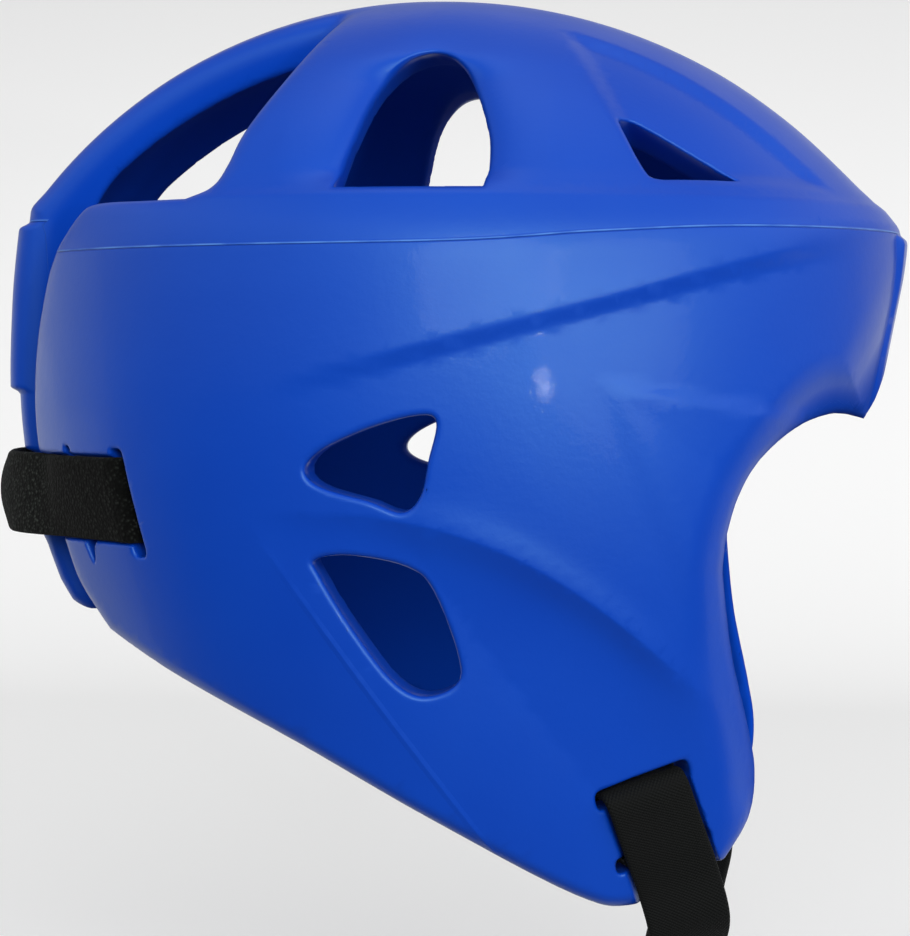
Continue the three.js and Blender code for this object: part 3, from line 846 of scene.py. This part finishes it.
class Nodes:
    """Short way to add and join the shader nodes of a material or a world."""

    def __init__(self, owner, output):
        owner.use_nodes = True
        self.owner = owner
        self.tree = owner.node_tree
        self.tree.nodes.clear()
        self.output = self.add(output)

    def add(self, kind, **settings):
        node = self.tree.nodes.new(kind)
        for key, value in settings.items():
            setattr(node, key, value)
        return node

    def join(self, source, target):
        self.tree.links.new(source, target)

    def principled(self):
        shader = self.add("ShaderNodeBsdfPrincipled")
        self.join(shader.outputs[0], self.output.inputs["Surface"])
        return shader

    def attribute(self, name):
        return self.add("ShaderNodeAttribute", attribute_name=name).outputs["Fac"]

    def axes(self, vector):
        node = self.add("ShaderNodeSeparateXYZ")
        self.join(vector, node.inputs[0])
        return node.outputs

    def math(self, operation, a, b=0.0):
        node = self.add("ShaderNodeMath", operation=operation)
        for socket, value in zip(node.inputs, (a, b)):
            if isinstance(value, (int, float)):
                socket.default_value = value
            else:
                self.join(value, socket)
        return node.outputs[0]

    def multiply(self, colour, shade):
        node = self.add("ShaderNodeMix", data_type="RGBA", blend_type="MULTIPLY")
        node.inputs["Factor"].default_value = 1.0
        self.join(colour, node.inputs[6])
        self.join(shade, node.inputs[7])
        return node.outputs[2]

    def tint(self, colour, paint, share):
        node = self.add("ShaderNodeMix", data_type="RGBA")
        self.join(share, node.inputs["Factor"])
        self.join(colour, node.inputs[6])
        node.inputs[7].default_value = (*paint, 1)
        return node.outputs[2]

    def noise(self, vector, scale, detail=2.0, roughness=0.5):
        node = self.add("ShaderNodeTexNoise")
        node.inputs["Scale"].default_value = scale
        node.inputs["Detail"].default_value = detail
        node.inputs["Roughness"].default_value = roughness
        self.join(vector, node.inputs["Vector"])
        return node.outputs["Fac"]

    def ramp(self, factor, stops):
        node = self.add("ShaderNodeValToRGB")
        while len(node.color_ramp.elements) < len(stops):
            node.color_ramp.elements.new(0.5)
        for element, (position, colour) in zip(node.color_ramp.elements, stops):
            element.position = position
            element.color = (*colour, 1)
        self.join(factor, node.inputs["Fac"])
        return node.outputs["Color"]

    def levels(self, factor, stops):
        return self.ramp(factor, [(position, (level,) * 3) for position, level in stops])

    def bump(self, height, strength, distance, normal=None):
        node = self.add("ShaderNodeBump")
        node.inputs["Strength"].default_value = strength
        node.inputs["Distance"].default_value = distance
        self.join(height, node.inputs["Height"])
        if normal is not None:
            self.join(normal, node.inputs["Normal"])
        return node.outputs["Normal"]


def new_material(name):
    return Nodes(bpy.data.materials.new(name), "ShaderNodeOutputMaterial")


FOAM_BLUE = (0.001, 0.046, 0.42)
FOAM_BLUE_DEEP = (0.001, 0.040, 0.39)
# Paler blue painted on the lip of the parting line as its highlight
LIP_HIGHLIGHT_BLUE = (0.09, 0.24, 0.62)
# Cells per metre of the skin's unevenness and of the streaks in the lip's painted highlight
FOAM_NOISE = {"cloud": 14, "gloss": 45, "highlight_streaks": 120, "skin": 420, "pits": 1500}
# Height spanned by the parting line's groove and by its lip, which is painted paler as a highlight
SEAM_SPAN = 0.002
# Mould line along the rear of the scoop: half its width, and how far under the origin it begins and is full
MOULD_LINE_HALF = 0.00114
MOULD_LINE_DROP = (0.128, 0.152)
PILE_LOOP = 0.0010
PILE_NOISE = 700
PILE_COLOURS = [
    (0.18, (0.0015, 0.0020, 0.0017)),
    (0.32, (0.0060, 0.0074, 0.0064)),
    (0.48, (0.0360, 0.0420, 0.0370)),
]
# The pile is worn to this share ahead of x, and fades to full over a length behind it
WORN_SHARE = 0.35
WORN_X = -0.100
WORN_FADE = 1 / 120
WARP_PITCH = 0.0011
WEFT_PITCH = 0.0009
WEBBING_COLOURS = [(0.2, (0.0015, 0.0018, 0.0018)), (0.8, (0.0042, 0.005, 0.0048))]


def foam_colour(nodes, place, over):
    """Cloudy blue, with a paler blue painted as a highlight in streaks on the lip of the parting line."""
    cloud = nodes.noise(place, FOAM_NOISE["cloud"], 4)
    blue = nodes.ramp(cloud, [(0.35, FOAM_BLUE_DEEP), (0.65, FOAM_BLUE)])
    # Painted highlight: the lip over the parting line is tinted paler, in streaks
    lip_highlight = nodes.levels(over, [(0.46, 0.0), (0.52, 1.0), (0.64, 1.0), (0.74, 0.0)])
    highlight_streaks = nodes.levels(nodes.noise(place, FOAM_NOISE["highlight_streaks"], 3), [(0.3, 0.2), (0.65, 0.75)])
    return nodes.tint(blue, LIP_HIGHLIGHT_BLUE, nodes.math("MULTIPLY", lip_highlight, highlight_streaks))


def foam_sheen(nodes, shader, place, depth):
    """Uneven soft sheen on the outer skin that fades to matt inside."""
    gloss = nodes.levels(nodes.noise(place, FOAM_NOISE["gloss"], 3), [(0.3, 0.36), (0.7, 0.42)])
    matt = nodes.levels(depth, [(0.15, 0.3), (0.4, 0.9)])
    nodes.join(nodes.math("MAXIMUM", gloss, matt), shader.inputs["Roughness"])
    nodes.join(nodes.levels(depth, [(0.15, 0.42), (0.5, 0.12)]), shader.inputs["Specular IOR Level"])
    nodes.join(nodes.levels(depth, [(0.15, 0.07), (0.4, 0.0)]), shader.inputs["Coat Weight"])
    shader.inputs["Specular Tint"].default_value = (0.42, 0.95, 1.0, 1)
    shader.inputs["Coat Roughness"].default_value = 0.05


def mould_line(nodes, place, depth):
    """Height of the fine line along the rear of the scoop, on the outer skin only."""
    off = nodes.math("ABSOLUTE", nodes.attribute("mould_line"))
    line = nodes.levels(nodes.math("MULTIPLY", off, 1 / MOULD_LINE_HALF), [(0.0, 1.0), (1.0, 0.0)])
    begin, full = MOULD_LINE_DROP
    above = nodes.math("ADD", nodes.axes(place)["Z"], begin)
    below = nodes.math("MULTIPLY", above, 1 / (begin - full))
    line = nodes.math("MULTIPLY", line, nodes.levels(below, [(0.0, 0.0), (1.0, 1.0)]))
    return nodes.math("MULTIPLY", line, nodes.levels(depth, [(0.3, 1.0), (0.5, 0.0)]))


def foam_normal(nodes, place, over, depth):
    """Fine pitting, the groove of the parting line and the mould line."""
    skin = nodes.math("MULTIPLY", nodes.noise(place, FOAM_NOISE["skin"], 3), 0.6)
    pits = nodes.math("MULTIPLY", nodes.noise(place, FOAM_NOISE["pits"], 2), 0.25)
    normal = nodes.bump(nodes.math("ADD", skin, pits), 0.10, 0.0006)
    groove = nodes.levels(over, [(0.0, 0.5), (0.3, 0.5), (0.42, 0.0), (0.54, 1.0), (0.8, 0.5)])
    normal = nodes.bump(groove, 0.7, 0.0006, normal)
    return nodes.bump(mould_line(nodes, place, depth), 0.6, 0.0003, normal)


def foam_material():
    """Dipped blue skin: soft sheen, matt inside, fine pitting, a highlight painted pale along the parting
    line and a mould line.
    """
    nodes = new_material("foam_skin")
    place = nodes.add("ShaderNodeTexCoord").outputs["Object"]
    shader = nodes.principled()
    over = nodes.math("ADD", nodes.math("MULTIPLY", nodes.attribute("seam"), 1 / SEAM_SPAN), 0.5)
    depth = nodes.math("MULTIPLY", nodes.attribute("depth"), 1 / FOAM)
    nodes.join(foam_colour(nodes, place, over), shader.inputs["Base Color"])
    foam_sheen(nodes, shader, place, depth)
    normal = foam_normal(nodes, place, over, depth)
    nodes.join(normal, shader.inputs["Normal"])
    nodes.join(normal, shader.inputs["Coat Normal"])
    return nodes.owner


def pile_material():
    """Black loop pile behind the flaps, worn flat and darker where the strap lies on them."""
    nodes = new_material("loop_pile")
    place = nodes.add("ShaderNodeTexCoord").outputs["Object"]
    shader = nodes.principled()
    loops = nodes.add("ShaderNodeTexVoronoi")
    loops.inputs["Scale"].default_value = 1 / PILE_LOOP
    nodes.join(place, loops.inputs["Vector"])
    loop = nodes.math("SUBTRACT", 1.0, loops.outputs["Distance"])
    speck = nodes.math("MULTIPLY", loop, nodes.noise(place, PILE_NOISE, 3, 0.7))
    pile = nodes.ramp(speck, PILE_COLOURS)
    behind = nodes.math("SUBTRACT", WORN_X, nodes.axes(place)["X"])
    flat = nodes.levels(nodes.math("MULTIPLY", behind, 1 / WORN_FADE), [(0.0, WORN_SHARE), (1.0, 1.0)])
    nodes.join(nodes.multiply(pile, flat), shader.inputs["Base Color"])
    shader.inputs["Roughness"].default_value = 0.95
    shader.inputs["Specular IOR Level"].default_value = 0.08
    shader.inputs["Sheen Weight"].default_value = 0.02
    shader.inputs["Sheen Roughness"].default_value = 0.6
    nodes.join(nodes.bump(speck, 0.5, 0.0012), shader.inputs["Normal"])
    return nodes.owner


def webbing_material():
    """Black woven webbing: ribs across and fine warp along."""
    nodes = new_material("webbing")
    cloth = nodes.axes(nodes.add("ShaderNodeUVMap", uv_map="cloth").outputs[0])
    shader = nodes.principled()
    warp = nodes.math("SINE", nodes.math("MULTIPLY", cloth["X"], 2 * math.pi / WARP_PITCH))
    weft = nodes.math("SINE", nodes.math("MULTIPLY", cloth["Y"], 2 * math.pi / WEFT_PITCH))
    weave = nodes.math("MULTIPLY", warp, weft)
    height = nodes.math("ADD", nodes.math("MULTIPLY", weave, 0.5), 0.5)
    nodes.join(nodes.ramp(height, WEBBING_COLOURS), shader.inputs["Base Color"])
    shader.inputs["Roughness"].default_value = 0.75
    shader.inputs["Specular IOR Level"].default_value = 0.12
    shader.inputs["Sheen Weight"].default_value = 0.01
    nodes.join(nodes.bump(height, 0.6, 0.0004), shader.inputs["Normal"])
    return nodes.owner


def paper_material(name):
    nodes = new_material(name)
    shader = nodes.principled()
    shader.inputs["Base Color"].default_value = (*PAPER_WHITE, 1)
    shader.inputs["Roughness"].default_value = 0.9
    shader.inputs["Specular IOR Level"].default_value = 0.1
    return nodes.owner


def dress(piece, material, node):
    piece.data.materials.append(material)
    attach(piece, "root")
    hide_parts(node)


def make_paper(name, profile):
    """Strip of pale paper along a profile of depth and height. The dome stands in for its soft bounce."""
    vertices = [(side * PAPER_WIDTH / 2, y, z + FLOOR_Z) for side in (-1, 1) for y, z in profile]
    count = len(profile)
    faces = [(i, count + i, count + i + 1, i + 1) for i in range(count - 1)]
    mesh = bpy.data.meshes.new(name)
    mesh.from_pydata(vertices, [], faces)
    for polygon in mesh.polygons:
        polygon.use_smooth = True
    paper = new_object(name, mesh)
    paper.data.materials.append(paper_material(name + "_paper"))
    paper.visible_diffuse = False
    paper.visible_shadow = False
    return paper


def make_floor():
    """Pale floor in front, and behind it paper that sweeps up and shines back from the guard's edges."""
    depth, rise, turn = BACKDROP["depth"], BACKDROP["rise"], BACKDROP["turn"]
    bend = [
        (depth - turn + turn * math.sin(angle), turn - turn * math.cos(angle))
        for angle in np.linspace(0.1, math.pi / 2, 14)
    ]
    floor = make_paper("floor", [(FLOOR_FRONT, 0.0), (FLOOR_JOIN, 0.0)])
    floor.visible_glossy = False
    make_paper("backdrop", [(FLOOR_JOIN, 0.0), (depth - turn, 0.0), *bend, (depth, rise)])


# Brightness of the studio's dome along each axis. Columns: direction from -1 to 1, brightness.
DOME = {
    "X": [(-1.0, 0.6), (0.3, 0.95), (1.0, 1.0)],
    "Y": [(-0.1, 1.0), (0.35, 0.55), (1.0, 0.35)],
    "Z": [
        (-1.0, 0.22), (-0.25, 0.10), (-0.05, 0.10), (0.15, 0.75), (0.60, 1.10),
        (0.80, 0.35), (0.90, 0.50), (1.0, 1.10),
    ],
}
DOME_STRENGTH = 1.48
# Columns: name, azimuth from the side view, elevation, distance, size, watts
LIGHTS = [
    ("lamp", 21.5, 0.3, 1.6, 0.035, 1.6),
    ("key", 9, 18, 1.8, 0.9, 11.5),
    ("right", 36, 10, 1.6, 1.0, 8.5),
    ("left", -105, -6, 1.3, 1.1, 2),
]


def dome():
    """Soft light from all round, dim from below and from behind."""
    nodes = Nodes(bpy.data.worlds.new("studio"), "ShaderNodeOutputWorld")
    direction = nodes.axes(nodes.add("ShaderNodeTexCoord").outputs["Generated"])
    light = None
    for axis, stops in DOME.items():
        position = nodes.math("ADD", nodes.math("MULTIPLY", direction[axis], 0.5), 0.5)
        share = nodes.levels(position, [(at * 0.5 + 0.5, level) for at, level in stops])
        light = share if light is None else nodes.multiply(light, share)
    background = nodes.add("ShaderNodeBackground")
    background.inputs["Strength"].default_value = DOME_STRENGTH
    nodes.join(light, background.inputs["Color"])
    nodes.join(background.outputs[0], nodes.output.inputs["Surface"])
    bpy.context.scene.world = nodes.owner


def seen_from(azimuth, elevation):
    """Direction from the guard to a light or the camera, azimuth counted from its right side forward."""
    level = math.cos(elevation)
    return Vector((math.sin(azimuth) * level, -math.cos(azimuth) * level, math.sin(elevation)))


def aim(thing, back, distance):
    bpy.context.scene.collection.objects.link(thing)
    thing.location = CAMERA_AIM + back * distance
    thing.rotation_mode = "QUATERNION"
    thing.rotation_quaternion = (-back).to_track_quat("-Z", "Y")


def studio():
    make_floor()
    dome()
    for name, azimuth, elevation, distance, size, watts in LIGHTS:
        light = bpy.data.lights.new(name, "AREA")
        light.shape = "DISK"
        light.size = size
        light.energy = watts
        back = seen_from(math.radians(azimuth), math.radians(elevation))
        aim(bpy.data.objects.new(name, light), back, distance)


def photo_camera():
    camera = bpy.data.objects.new("camera", bpy.data.cameras.new("camera"))
    aim(camera, seen_from(CAMERA_YAW, CAMERA_PITCH), CAMERA_DISTANCE)
    camera.data.sensor_width = SENSOR
    camera.data.lens = FOCAL_PIXELS * SENSOR / IMAGE_LONG_SIDE
    camera.data.clip_start = 0.01
    bpy.context.scene.camera = camera


bpy.context.scene.view_settings.view_transform = "Standard"
photo_camera()
studio()
shell = make_shell()
dress(shell, foam_material(), "shell")
rear_strap, rear_length = make_strap(
    "rear_strap_pile", rear_strap_path(), across_rear, rear_cup, REAR_STRAP_WIDTH
)
dress(rear_strap, pile_material(), "rear_strap")
chin_strap, chin_length = make_strap(
    "chin_strap_webbing", chin_strap_path(), across_chin, no_cup, CHIN_STRAP_WIDTH
)
dress(chin_strap, webbing_material(), "chin_strap")
